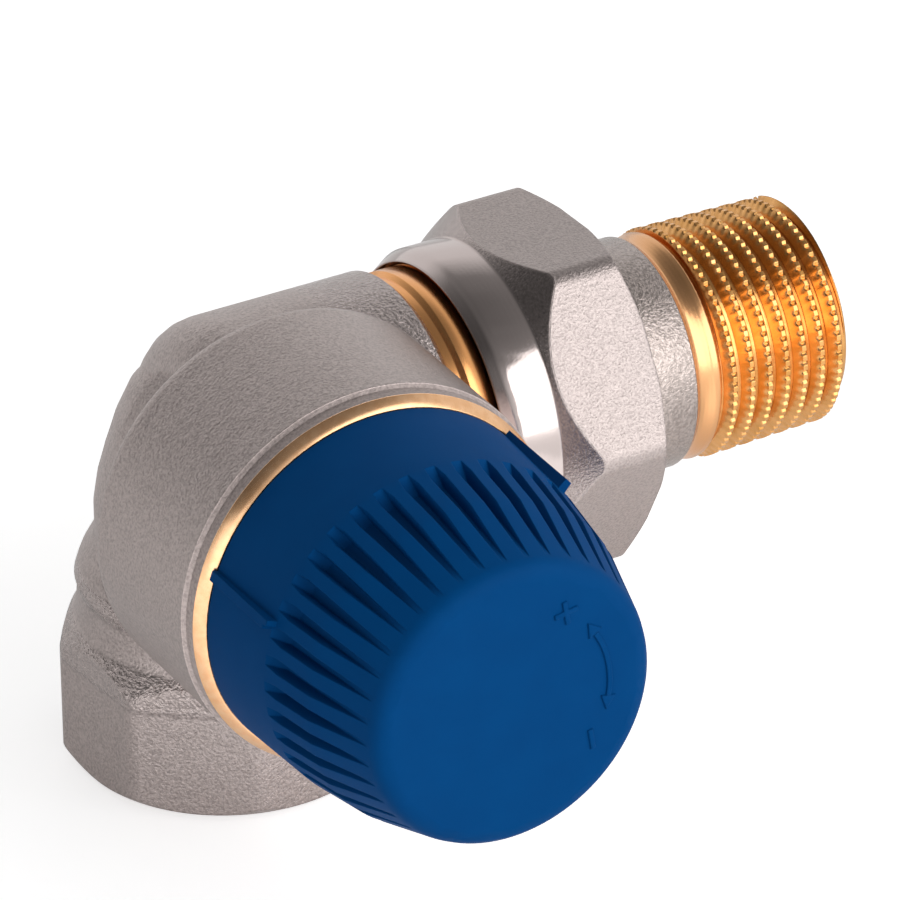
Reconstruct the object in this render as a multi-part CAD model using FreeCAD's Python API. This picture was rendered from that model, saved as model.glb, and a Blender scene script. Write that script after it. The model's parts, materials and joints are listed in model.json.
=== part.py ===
import FreeCAD, Part
import math
import os

# Corner radiator valve, half inch size, millimetres, +Z up.
# The inlet axis is the Z axis and the inlet mouth is at the origin, opening downwards.
# The head (cap) axis points along -Y, the union (tail) axis points along +X.

# Places of the two side axes
HEAD_HEIGHT = 29.5          # head and union axes above the inlet mouth
UNION_SETBACK = -4.8        # union axis in Y, in front of the inlet axis

# Inlet boss
BOSS_FLATS = 27.5           # octagon across flats
BOSS_TURN = 27.5            # angle of one corner from +X
BOSS_CORNER_ROUND = 2.2
BOSS_HEIGHT = 16.0
BOSS_CHAMFER = 1.1
INLET_THREAD_R = 9.32       # core of the female pipe thread
INLET_THREAD_DEPTH = 13.2
PASSAGE_R = 7.0
PASSAGE_TOP = 33.4          # rear passage ends inside the dome

# Column over the boss, closed by a dome behind the seat: (height, radius)
COLUMN = [(12.0, 12.95), (14.4, 12.95), (16.6, 12.78), (17.1, 13.05), (17.9, 12.8), (18.7, 12.5),
          (20.2, 11.7), (21.4, 11.15), (24.0, 11.15),
          (26.6, 10.75), (29.0, 10.1), (32.2, 9.1), (34.9, 7.9), (36.5, 6.6), (37.7, 4.6), (38.3, 0.0)]

# Head drum
DRUM_R = 17.6
DRUM_BACK = 4.7             # distances along the head axis from the union axis
DRUM_EDGE = 20.8
DRUM_FRONT = 23.2
BAND_R = 17.3               # band in front of the casting
RIM_START = 22.3            # the turned rim slopes from here to the front
RIM_FRONT_R = 16.5
DRUM_BACK_ROUND = 1.5

# Head connection
SPIGOT_R = 14.95            # M30 x 1.5
SPIGOT_END = 32.0
SPIGOT_BORE_R = 12.6
SPIGOT_BORE_START = 21.5

# Seat and chambers
SEAT_PLANE = -4.4           # along the head axis, behind the union axis
SEAT_R = 5.6
SEAT_LIP_R = 6.7
SEAT_LIP_H = 0.6
WALL_T = 1.8                # partition that carries the seat
CHAMBER_R = 8.9
CHAMBER_OUT_R = 10.6
CHAMBER_FRONT_R = 10.1      # wider room under the insert
CHAMBER_FRONT_START = 6.4

# Outlet branch
BRANCH_R = 13.7
BRANCH_LEFT = -5.9          # closed end, in X
BRANCH_RIGHT = 14.9
BRANCH_ROUND = 4.8
OUTLET_R = 6.6
NECK_TURNED_R = 12.75
UNION_THREAD_R = 13.15      # three quarter inch parallel thread
UNION_THREAD_START = 16.3
UNION_END = 27.4
NOSE_R = 9.24               # nose of the tailpiece
NOSE_CLEARANCE = 0.06
NOSE_BORE_R = NOSE_R + NOSE_CLEARANCE
NOSE_BORE_DEPTH = 4.8

# Union nut
NUT_FLATS = 29.6
NUT_START = 17.9
NUT_HEX_START = 23.0
NUT_END = 33.0
NUT_SKIRT_R = 14.45
NUT_BORE_R = 13.22
NUT_NECK_R = 10.85
NUT_SHOULDER = 30.6
NUT_CORNER_ROUND = 2.0
NUT_TURN = 28.0             # angle of one corner from straight up, towards the front

# Tailpiece
COLLAR_R = 10.5
COLLAR_END = 39.2
SHOULDER_END = 41.4
SHOULDER_WAIST = 0.4        # how far the shoulder dips in behind the collar
THREAD_GROOVE = 0.7         # depth of the groove before the thread, from the collar's radius
TAIL_THREAD_R = 10.4775     # R 1/2 at the gauge plane
TAIL_THREAD_START = 42.4
TAIL_END = 55.2
TAIL_RING_D = 1.6           # section of the tail seal ring
NOSE_WALL = 0.44            # wall under the ring groove
TAIL_BORE_R = NOSE_R - TAIL_RING_D - NOSE_WALL
FLANGE_R = 12.2
FLANGE_T = 3.0
NOSE_LEN = 4.2
FLANGE_GAP = 0.1            # between the body's end and the flange
RING_SHOULDER = 1.2         # from the nose's tip to the groove
RING_GROOVE_LEN = 1.9

# Insert
INSERT_THREAD_R = 11.0      # M22 x 1.5
INSERT_FOOT = 8.2
INSERT_FOOT_R = 9.0
INSERT_FLANGE_R = 12.4
INSERT_FLANGE_T = 1.8
INSERT_HEX = 19.0
INSERT_HEX_TOP = 28.0
INSERT_NECK_R = 8.6
INSERT_TOP = 30.4
INSERT_GROOVE = 1.45        # depth of the ring groove under the flange
INSERT_GROOVE_LEN = 2.2
SPRING_ROOM_R = 5.3
SPRING_FLOOR = 10.6
BUSH_R = 3.4
BUSH_END = 9.7
GLAND_THREAD_R = 6.3
GLAND_GROOVE = 1.35
GLAND_SEAT = 26.9

# Stem
STEM_TRAVEL = 3.0           # two turns of the cap
SPINDLE_R = 2.0
SPINDLE_TOP = 23.9
SPINDLE_FOOT = -7.9
SCREW_R = 1.5
PIN_R = 1.5
PIN_TOP = 35.0
PLUG_R = 7.5
PLUG_T = 2.6
CARRIER_R = 8.2
CARRIER_T = 3.6
CARRIER_HUB_R = 3.6
CARRIER_HUB_H = 2.0
PLUG_WASHER_R = 4.2
PLUG_WASHER_T = 0.8
PLUG_NUT_FLATS = 5.5
PLUG_NUT_END = -2.9         # from the seat plane
SPRING_WIRE_R = 0.45
SPRING_MEAN_R = 3.9
SPRING_TOP = 21.9
SPRING_TURNS = 5
SPRING_STEPS = 14           # straight pieces in one turn
SPRING_WASHER_R = 4.7
SPRING_WASHER_T = 0.8
CLIP_R = 3.5
CLIP_T = 0.6
CLIP_DEPTH = 0.45           # groove in the spindle
CLIP_MOUTH = 2.2

# Gland
GLAND_TOP = 33.4
GLAND_HEX = 11.0
STEM_RING_D = 1.5

# Cap
CAP_GAP = 0.3               # between the rim and the cap, screwed down
CAP_BASE = DRUM_FRONT + CAP_GAP
CAP_BASE_R = 16.4
CAP_RING = 32.3             # where the flutes start
CAP_RING_R = 16.0
CAP_MID = 38.2
CAP_MID_R = 15.15
CAP_FACE = 46.0
CAP_FACE_R = 13.27
CAP_FACE_ROUND = 1.6
CAP_THREAD_END = 33.6
CAP_WALL = 2.0
CAP_ROOM_R = 12.6           # conical room around the post
CAP_ROOM_END_R = 10.8
POST_R = 3.6
WEB_T = 1.4
WEB_LEN = 22.0
WEB_START = 38.0
FLUTES = 40
FLUTE_TURN = 4.0            # angle of one ridge from straight up, towards +X
FLUTE_DEPTH = 1.15
FLUTE_START_W = 0.95        # floor width at the ring
FLUTE_END_W = 0.40          # floor width at the face
FLUTE_SPREAD = 0.20         # half of the extra width per millimetre of depth
FLUTE_RAMP = 1.5            # length of the sloping start
RIB_TURN = -70.0            # first of three marker ribs
RIB_W = 0.9
RIB_RISE = 0.55

V = FreeCAD.Vector
GAP = 0.05                  # running clearance in radius
OUT = "parts"


def to_head(shape):
    """Local +Z becomes the head axis, local zero is on the union axis."""
    s = shape.copy()
    s.rotate(V(0, 0, 0), V(1, 0, 0), 90)
    s.translate(V(0, UNION_SETBACK, HEAD_HEIGHT))
    return s


def to_union(shape):
    """Local +Z becomes the union axis (+X), local X becomes -Z, local zero is in the inlet's plane."""
    s = shape.copy()
    s.rotate(V(0, 0, 0), V(0, 1, 0), 90)
    s.translate(V(0, UNION_SETBACK, HEAD_HEIGHT))
    return s


def turned(profile):
    """Solid of revolution about local Z from a closed list of (radius, height)."""
    pts = [V(r, 0, z) for r, z in profile]
    face = Part.Face(Part.makePolygon(pts + [pts[0]]))
    return face.revolve(V(0, 0, 0), V(0, 0, 1), 360)


def rod(r, a, b):
    return Part.makeCylinder(r, b - a, V(0, 0, a))


def tube(r_out, r_in, a, b):
    return rod(r_out, a, b).cut(rod(r_in, a - 1, b + 1))


def prism(flats, sides, a, b, turn=0.0):
    """Regular prism along local Z; turn is the angle of a corner from local X."""
    r = flats / 2 / math.cos(math.pi / sides)
    pts = [V(r * math.cos(math.radians(turn) + 2 * math.pi * i / sides),
             r * math.sin(math.radians(turn) + 2 * math.pi * i / sides), a) for i in range(sides)]
    return Part.Face(Part.makePolygon(pts + [pts[0]])).extrude(V(0, 0, b - a))


def rounded(r, start, c, steps):
    """Points of a quarter round of radius c on the edge where a face at start meets a side of radius r."""
    angles = [math.pi / 2 * i / steps for i in range(steps + 1)]
    return [(r - c + c * math.sin(a), start + c - c * math.cos(a)) for a in angles]


def ring(inner_r, outer_r, z):
    """Rubber ring about local Z; its section has eight sides and touches both radii."""
    mean = (inner_r + outer_r) / 2
    r = (outer_r - inner_r) / 2 / math.cos(math.pi / 8)
    angles = [math.pi / 8 * (2 * i + 1) for i in range(8)]
    return turned([(mean + r * math.cos(a), z + r * math.sin(a)) for a in angles])


def upright_edges(shape):
    """Edges of a prism that run along local Z."""
    return [e for e in shape.Edges if abs(e.Vertexes[0].Z - e.Vertexes[1].Z) > 1]


def save(name, shape):
    shape.exportStep(os.path.join(OUT, name + ".step"))
    print(name, "solids", len(shape.Solids), "valid", shape.isValid(), "mm3", round(shape.Volume, 1))


def boss_outside():
    """Octagon boss with rounded corners, a chamfered mouth and a shoulder up to the column."""
    corner = BOSS_FLATS / 2 / math.cos(math.pi / 8)
    mouth = BOSS_FLATS / 2
    octagon = prism(BOSS_FLATS, 8, 0, BOSS_HEIGHT, BOSS_TURN)
    octagon = octagon.makeFillet(BOSS_CORNER_ROUND, upright_edges(octagon))
    shape = turned([(0, 0), (mouth, 0), (corner + 0.05, BOSS_CHAMFER), (corner + 0.05, 9.9),
                    (corner - 0.3, 10.8), (corner - 0.65, 11.6), (corner - 1.15, 12.35), (13.25, 13.1),
                    (12.9, 14.1), (0, 14.1)])
    return octagon.common(shape)


def column_outside():
    """Round column over the boss, closed by a dome, with the sleeve of the valve chamber in front of it."""
    column = turned([(0, COLUMN[0][0])] + [(r, z) for z, r in COLUMN])
    back = SEAT_PLANE - SEAT_LIP_H - 0.4
    sleeve = turned([(0, back), (CHAMBER_OUT_R - 0.9, back), (CHAMBER_OUT_R, back + 0.9),
                     (CHAMBER_OUT_R, DRUM_BACK + 1), (0, DRUM_BACK + 1)])
    return column.fuse(to_head(sleeve))


def drum_outside():
    """Round head drum: rounded back edge, band, and a turned rim that slopes in towards the cap."""
    front = [(DRUM_R, DRUM_EDGE), (BAND_R, DRUM_EDGE + 0.35), (BAND_R, RIM_START),
             (RIM_FRONT_R + 0.35, DRUM_FRONT - 0.25), (RIM_FRONT_R, DRUM_FRONT), (0, DRUM_FRONT)]
    return turned([(0, DRUM_BACK)] + rounded(DRUM_R, DRUM_BACK, DRUM_BACK_ROUND, 4) + front)


def branch_outside():
    """Outlet branch across the back, with a rounded closed end on the left."""
    mouth = [(BRANCH_R, BRANCH_RIGHT - 0.6), (BRANCH_R - 0.6, BRANCH_RIGHT), (0, BRANCH_RIGHT)]
    return turned([(0, BRANCH_LEFT)] + rounded(BRANCH_R, BRANCH_LEFT, BRANCH_ROUND, 6) + mouth)


def union_stub():
    """Turned outlet neck and the plain body of its thread."""
    start = BRANCH_RIGHT - 2
    return turned([(0, start), (NECK_TURNED_R, start), (NECK_TURNED_R, UNION_THREAD_START - 0.4),
                   (UNION_THREAD_R, UNION_THREAD_START), (UNION_THREAD_R, UNION_END - 0.8),
                   (UNION_THREAD_R - 0.8, UNION_END), (0, UNION_END)])


def valve_body():
    spigot = turned([(0, DRUM_FRONT - 1), (SPIGOT_R, DRUM_FRONT - 1), (SPIGOT_R, SPIGOT_END - 0.8),
                     (SPIGOT_R - 0.8, SPIGOT_END), (0, SPIGOT_END)])
    head = to_head(drum_outside().fuse(spigot))
    union = to_union(branch_outside().fuse(union_stub()))
    outside = boss_outside().fuse([column_outside(), head, union])

    # hollows on the inlet axis
    mouth = turned([(0, -1), (INLET_THREAD_R, -1), (INLET_THREAD_R, INLET_THREAD_DEPTH),
                    (PASSAGE_R, INLET_THREAD_DEPTH + 1.4), (PASSAGE_R, INLET_THREAD_DEPTH + 3.4),
                    (0, INLET_THREAD_DEPTH + 3.4)])
    back = UNION_SETBACK - SEAT_PLANE + WALL_T      # rear face of the partition, in Y
    start = INLET_THREAD_DEPTH + 2
    rise = turned([(0, start), (PASSAGE_R, start), (PASSAGE_R, PASSAGE_TOP - 1.6),
                   (PASSAGE_R - 1.6, PASSAGE_TOP), (0, PASSAGE_TOP)])
    rise = rise.common(Part.makeBox(40, 30, 60, V(-20, back, 0)))

    # hollows on the head axis
    seat = SEAT_PLANE
    floor = seat - SEAT_LIP_H
    front = turned([(0, floor), (CHAMBER_R, floor), (CHAMBER_R, CHAMBER_FRONT_START - 0.6),
                    (CHAMBER_FRONT_R, CHAMBER_FRONT_START), (CHAMBER_FRONT_R, INSERT_FOOT + 1.0),
                    (INSERT_THREAD_R, INSERT_FOOT + 1.8), (INSERT_THREAD_R, SPIGOT_BORE_START),
                    (SPIGOT_BORE_R, SPIGOT_BORE_START), (SPIGOT_BORE_R, SPIGOT_END + 1), (0, SPIGOT_END + 1)])
    front = front.cut(tube(SEAT_LIP_R, SEAT_R, floor - 0.2, seat))
    through = rod(SEAT_R, seat - WALL_T - 1.4, seat + 0.1)

    # hollows on the union axis; the partition keeps its full height beside the seat
    outlet = turned([(0, 0), (OUTLET_R, 0), (OUTLET_R, UNION_END - NOSE_BORE_DEPTH - 1.4),
                     (NOSE_BORE_R, UNION_END - NOSE_BORE_DEPTH), (NOSE_BORE_R, UNION_END + 1),
                     (0, UNION_END + 1)])
    partition = Part.makeBox(CHAMBER_R + 0.3, 30, 60, V(0, back - WALL_T, 0))
    outlet = to_union(outlet).cut(partition)
    return outside.cut(mouth.fuse([rise, to_head(front), to_head(through), outlet]))


def insert_housing():
    """Screwed insert: open foot with the guide, thread, flange, hexagon, spring room and gland thread."""
    thread_r = INSERT_THREAD_R - GAP
    groove_r = INSERT_THREAD_R - INSERT_GROOVE
    groove_start = SPIGOT_BORE_START - INSERT_GROOVE_LEN
    flange_top = SPIGOT_BORE_START + INSERT_FLANGE_T
    shell = turned([(0, INSERT_FOOT), (INSERT_FOOT_R, INSERT_FOOT), (INSERT_FOOT_R, INSERT_FOOT + 2.2),
                    (thread_r, INSERT_FOOT + 3.0), (thread_r, groove_start),
                    (groove_r, groove_start), (groove_r, SPIGOT_BORE_START),
                    (INSERT_FLANGE_R, SPIGOT_BORE_START), (INSERT_FLANGE_R, flange_top), (0, flange_top)])
    hexagon = prism(INSERT_HEX, 6, flange_top - 0.5, INSERT_HEX_TOP, 0)
    neck = rod(INSERT_NECK_R, INSERT_HEX_TOP - 0.5, INSERT_TOP)
    solid = shell.fuse([hexagon, neck])
    room = turned([(0, INSERT_FOOT - 1), (BUSH_R, INSERT_FOOT - 1), (BUSH_R, BUSH_END),
                   (SPINDLE_R + 0.6, BUSH_END), (SPINDLE_R + 0.6, SPRING_FLOOR),
                   (SPRING_ROOM_R, SPRING_FLOOR), (SPRING_ROOM_R, GLAND_SEAT), (GLAND_THREAD_R, GLAND_SEAT),
                   (GLAND_THREAD_R, INSERT_TOP + 1), (0, INSERT_TOP + 1)])
    return solid.cut(room)


def guide_bush():
    """Plain bush pressed into the housing's foot, around the spindle."""
    return tube(BUSH_R, SPINDLE_R + GAP, INSERT_FOOT, BUSH_END)


def gland_nut():
    """Screwed gland with a hexagon and the room for the stem rings."""
    groove_r = GLAND_THREAD_R - GLAND_GROOVE
    groove_end = GLAND_SEAT + GLAND_GROOVE
    thread_r = GLAND_THREAD_R - 0.02
    body = turned([(0, GLAND_SEAT), (groove_r, GLAND_SEAT), (groove_r, groove_end), (thread_r, groove_end),
                   (thread_r, INSERT_TOP + 0.1), (0, INSERT_TOP + 0.1)])
    hexagon = prism(GLAND_HEX, 6, INSERT_TOP, GLAND_TOP - 0.7, 0)
    crown = turned([(0, GLAND_TOP - 0.8), (GLAND_HEX / 2, GLAND_TOP - 0.8), (GLAND_HEX / 2 - 0.9, GLAND_TOP),
                    (0, GLAND_TOP)])
    room_r = PIN_R + STEM_RING_D
    hole = turned([(0, GLAND_SEAT - 1), (SPINDLE_R + 0.25, GLAND_SEAT - 1),
                   (SPINDLE_R + 0.25, GLAND_SEAT + 0.7), (PIN_R + GAP, GLAND_SEAT + 0.7),
                   (PIN_R + GAP, GLAND_SEAT + 1.3), (room_r, GLAND_SEAT + 1.3), (room_r, GLAND_TOP - 1.0),
                   (PIN_R + GAP, GLAND_TOP - 1.0), (PIN_R + GAP, GLAND_TOP + 1), (0, GLAND_TOP + 1)])
    return body.fuse([hexagon, crown]).cut(hole)


def spindle():
    """Plain rod with a step under the plug carrier, a thin threaded foot and a groove for the clip."""
    step = SEAT_PLANE + PLUG_T + 0.6
    clip = SPRING_TOP + SPRING_WASHER_T
    clip_r = SPINDLE_R - CLIP_DEPTH
    return turned([(0, SPINDLE_FOOT), (SCREW_R - 0.3, SPINDLE_FOOT), (SCREW_R, SPINDLE_FOOT + 0.3),
                   (SCREW_R, step), (SPINDLE_R, step), (SPINDLE_R, clip), (clip_r, clip),
                   (clip_r, clip + CLIP_T), (SPINDLE_R, clip + CLIP_T), (SPINDLE_R, SPINDLE_TOP - 0.3),
                   (SPINDLE_R - 0.3, SPINDLE_TOP), (0, SPINDLE_TOP)])


def pressure_pin():
    return turned([(0, SPINDLE_TOP), (PIN_R, SPINDLE_TOP), (PIN_R, PIN_TOP - 0.6), (PIN_R - 0.5, PIN_TOP),
                   (0, PIN_TOP)])


def plug_carrier():
    """Dished brass disc that holds the rubber from behind, with a hub against the spindle's step."""
    low = SEAT_PLANE + 0.8
    top = SEAT_PLANE + CARRIER_T
    step = SEAT_PLANE + PLUG_T + 0.6
    cup = turned([(0, low), (CARRIER_R - 0.3, low), (CARRIER_R, low + 0.3), (CARRIER_R, top - 0.4),
                  (CARRIER_R - 0.4, top), (CARRIER_HUB_R, top), (CARRIER_HUB_R, top + CARRIER_HUB_H),
                  (0, top + CARRIER_HUB_H)])
    cup = cup.cut(rod(PLUG_R, low - 1, SEAT_PLANE + PLUG_T))
    return cup.cut([rod(SCREW_R, low - 1, step), rod(SPINDLE_R, step, top + 3)])


def plug_seal():
    return tube(PLUG_R, SCREW_R, SEAT_PLANE + 0.02, SEAT_PLANE + PLUG_T)


def plug_washer():
    return tube(PLUG_WASHER_R, SCREW_R, SEAT_PLANE + 0.02 - PLUG_WASHER_T, SEAT_PLANE + 0.02)


def plug_nut():
    nut = prism(PLUG_NUT_FLATS, 6, SEAT_PLANE + PLUG_NUT_END, SEAT_PLANE + 0.02 - PLUG_WASHER_T)
    return nut.cut(rod(SCREW_R, SPINDLE_FOOT - 5, 0))


def spring_washer():
    return tube(SPRING_WASHER_R, SPINDLE_R, SPRING_TOP, SPRING_TOP + SPRING_WASHER_T)


def spindle_circlip():
    start = SPRING_TOP + SPRING_WASHER_T
    clip = tube(CLIP_R, SPINDLE_R - CLIP_DEPTH, start, start + CLIP_T)
    return clip.cut(Part.makeBox(6, CLIP_MOUTH, 3, V(0, -CLIP_MOUTH / 2, SPRING_TOP)))


def return_spring():
    """Open coil between the housing's floor and the spring washer, lofted through six-sided sections."""
    a, b = SPRING_FLOOR + SPRING_WIRE_R + 0.02, SPRING_TOP - SPRING_WIRE_R - 0.02
    count = SPRING_TURNS * SPRING_STEPS
    wires = []
    for i in range(count + 1):
        t = 2 * math.pi * i / SPRING_STEPS
        pts = []
        for j in range(6):
            u = math.pi / 3 * j + math.pi / 6
            r = SPRING_MEAN_R + SPRING_WIRE_R * math.cos(u)
            z = a + (b - a) * i / count + SPRING_WIRE_R * math.sin(u)
            pts.append(V(r * math.cos(t), r * math.sin(t), z))
        wires.append(Part.makePolygon(pts + [pts[0]]))
    return Part.makeLoft(wires, True, True)


def union_nut():
    corner = NUT_FLATS / 2 / math.cos(math.pi / 6)
    hexagon = prism(NUT_FLATS, 6, NUT_HEX_START - 0.6, NUT_END, NUT_TURN)
    hexagon = hexagon.makeFillet(NUT_CORNER_ROUND, upright_edges(hexagon))
    shape = turned([(0, NUT_START), (NUT_SKIRT_R - 1.0, NUT_START), (NUT_SKIRT_R, NUT_START + 1.7),
                    (NUT_SKIRT_R, NUT_HEX_START), (corner + 0.1, NUT_HEX_START + 3.4),
                    (corner + 0.1, NUT_END - 1.2), (NUT_FLATS / 2 + 0.2, NUT_END), (0, NUT_END)])
    skirt = rod(NUT_SKIRT_R, NUT_START - 1, NUT_HEX_START + 0.3)
    solid = hexagon.fuse(skirt).common(shape)
    hole = turned([(0, NUT_START - 1), (NUT_BORE_R + 0.5, NUT_START - 1), (NUT_BORE_R + 0.5, NUT_START),
                   (NUT_BORE_R, NUT_START + 0.6), (NUT_BORE_R, NUT_SHOULDER), (NUT_NECK_R, NUT_SHOULDER),
                   (NUT_NECK_R, NUT_END + 1), (0, NUT_END + 1)])
    return solid.cut(hole)


def tailpiece():
    """Nose with a ring groove, flange, collar, turned shoulder and taper thread core."""
    flange_start = UNION_END + FLANGE_GAP
    flange_end = flange_start + FLANGE_T
    nose = flange_start - NOSE_LEN
    groove_r = NOSE_R - TAIL_RING_D
    groove = nose + RING_SHOULDER
    inside = [(0, nose), (NOSE_R - 0.6, nose), (NOSE_R, nose + 0.6), (NOSE_R, groove), (groove_r, groove),
              (groove_r, groove + RING_GROOVE_LEN), (NOSE_R, groove + RING_GROOVE_LEN),
              (NOSE_R, flange_start), (FLANGE_R, flange_start), (FLANGE_R, flange_end),
              (COLLAR_R, flange_end)]
    waist_r = COLLAR_R - SHOULDER_WAIST
    cut_r = COLLAR_R - THREAD_GROOVE
    shoulder = [(COLLAR_R, COLLAR_END), (waist_r, COLLAR_END + 0.3), (waist_r, COLLAR_END + 0.9),
                (COLLAR_R - 0.15, SHOULDER_END), (cut_r, SHOULDER_END + 0.3),
                (cut_r, TAIL_THREAD_START - 0.3)]
    thread = [(TAIL_THREAD_R, TAIL_THREAD_START), (TAIL_THREAD_R, TAIL_END - 0.9),
              (TAIL_THREAD_R - 0.9, TAIL_END), (0, TAIL_END)]
    hole = turned([(0, nose - 1), (TAIL_BORE_R, nose - 1), (TAIL_BORE_R, TAIL_END - 0.6),
                   (TAIL_BORE_R + 0.6, TAIL_END), (TAIL_BORE_R + 0.6, TAIL_END + 1), (0, TAIL_END + 1)])
    return turned(inside + shoulder + thread).cut(hole)


def tail_seal_ring():
    groove = UNION_END + FLANGE_GAP - NOSE_LEN + RING_SHOULDER
    return ring(NOSE_R - TAIL_RING_D + 0.01, NOSE_R + 0.02, groove + RING_GROOVE_LEN / 2)


def cap_profile():
    """Outer line of the cap from base to face as (radius, distance)."""
    c = CAP_FACE_ROUND
    angles = [math.radians(a) for a in (10, 35, 60, 90)]
    arc = [(CAP_FACE_R - c + c * math.cos(a), CAP_FACE - c + c * math.sin(a)) for a in angles]
    return [(CAP_BASE_R, CAP_BASE), (CAP_RING_R, CAP_RING), (CAP_MID_R, CAP_MID)] + arc


def protective_cap():
    line = cap_profile()
    cap = turned(line + [(0, CAP_FACE), (0, CAP_BASE)])
    # three thin marker ribs on the skirt
    for k in range(3):
        corner = V(CAP_BASE_R - 3 + RIB_RISE, -RIB_W / 2, CAP_BASE)
        rib = Part.makeBox(3, RIB_W, CAP_RING + 0.4 - CAP_BASE, corner)
        rib.rotate(V(0, 0, 0), V(0, 0, 1), 90 - RIB_TURN - 120 * k)
        cap = cap.fuse(rib)
    # flutes: grooves with a sloping start at the ring, narrower towards the face
    cutters = []
    out_r = CAP_BASE_R + 1.0
    stations = [(CAP_RING, CAP_RING_R + 0.05, FLUTE_START_W),
                (CAP_RING + FLUTE_RAMP, CAP_RING_R - 0.2 - FLUTE_DEPTH, FLUTE_START_W - 0.05),
                (CAP_FACE - CAP_FACE_ROUND + 0.4, CAP_FACE_R - 0.05, FLUTE_END_W)]
    for k in range(FLUTES):
        wires = []
        for z, floor, width in stations:
            low = width / 2
            top = low + FLUTE_SPREAD * (out_r - floor)
            pts = [V(floor, -low, z), V(out_r, -top, z), V(out_r, top, z), V(floor, low, z)]
            wires.append(Part.makePolygon(pts + [pts[0]]))
        cutter = Part.makeLoft(wires, True, True)
        cutter.rotate(V(0, 0, 0), V(0, 0, 1), 90 - FLUTE_TURN + 360.0 / FLUTES * (k + 0.5))
        cutters.append(cutter)
    cap = cap.cut(Part.makeCompound(cutters))
    # inside: plain body of the thread, then a conical room around the pressing post
    room = turned([(0, CAP_BASE - 1), (SPIGOT_R + GAP + 0.5, CAP_BASE - 1), (SPIGOT_R + GAP + 0.5, CAP_BASE),
                   (SPIGOT_R + GAP, CAP_BASE + 0.6), (SPIGOT_R + GAP, CAP_THREAD_END - 1.5),
                   (CAP_ROOM_R, CAP_THREAD_END), (CAP_ROOM_END_R, CAP_FACE - CAP_WALL),
                   (0, CAP_FACE - CAP_WALL)])
    post = rod(POST_R, PIN_TOP + 0.02, CAP_FACE - CAP_WALL + 0.5)
    depth = CAP_FACE - CAP_WALL - WEB_START
    webs = [Part.makeBox(WEB_LEN, WEB_T, depth, V(-WEB_LEN / 2, -WEB_T / 2, WEB_START)),
            Part.makeBox(WEB_T, WEB_LEN, depth, V(-WEB_T / 2, -WEB_LEN / 2, WEB_START))]
    return cap.cut(room.cut(post.fuse(webs)))


def main():
    os.makedirs(OUT, exist_ok=True)
    save("valve_body", valve_body())
    save("insert_housing", to_head(insert_housing()))
    height = SPIGOT_BORE_START - INSERT_GROOVE_LEN / 2
    seal = ring(INSERT_THREAD_R - INSERT_GROOVE + 0.01, INSERT_THREAD_R - 0.01, height)
    save("insert_seal_ring", to_head(seal))
    save("guide_bush", to_head(guide_bush()))
    save("gland_nut", to_head(gland_nut()))
    seal = ring(GLAND_THREAD_R - GLAND_GROOVE + 0.01, GLAND_THREAD_R - 0.06, GLAND_SEAT + GLAND_GROOVE / 2)
    save("gland_seal_ring", to_head(seal))
    low = GLAND_SEAT + 1.3 + STEM_RING_D / 2
    high = GLAND_TOP - 1.0 - STEM_RING_D / 2
    rings = Part.makeCompound([ring(PIN_R + 0.06, PIN_R + STEM_RING_D - 0.01, z) for z in (low, high)])
    save("stem_seal_rings", to_head(rings))
    spacer = tube(PIN_R + STEM_RING_D - 0.03, PIN_R + GAP, low + STEM_RING_D / 2, high - STEM_RING_D / 2)
    save("gland_spacer_ring", to_head(spacer))
    save("spindle", to_head(spindle()))
    save("pressure_pin", to_head(pressure_pin()))
    save("return_spring", to_head(return_spring()))
    save("spring_washer", to_head(spring_washer()))
    save("spindle_circlip", to_head(spindle_circlip()))
    save("plug_carrier", to_head(plug_carrier()))
    save("plug_seal", to_head(plug_seal()))
    save("plug_washer", to_head(plug_washer()))
    save("plug_nut", to_head(plug_nut()))
    save("union_nut", to_union(union_nut()))
    save("tailpiece", to_union(tailpiece()))
    save("tail_seal_ring", to_union(tail_seal_ring()))
    save("protective_cap", to_head(protective_cap()))


main()
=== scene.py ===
"""Looks of a corner radiator valve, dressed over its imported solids.

The part stands in its own frame, in metres: the inlet mouth is at the origin and opens downwards,
the cap faces -Y and the union points along +X. Lengths in this script are millimetres until MM
turns them into metres, and angles are degrees.
"""
from __future__ import annotations

import json
import logging
import math
from dataclasses import dataclass, field
from enum import Enum
from typing import Callable, Sequence

import bmesh
import bpy
from mathutils import Matrix, Vector

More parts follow.
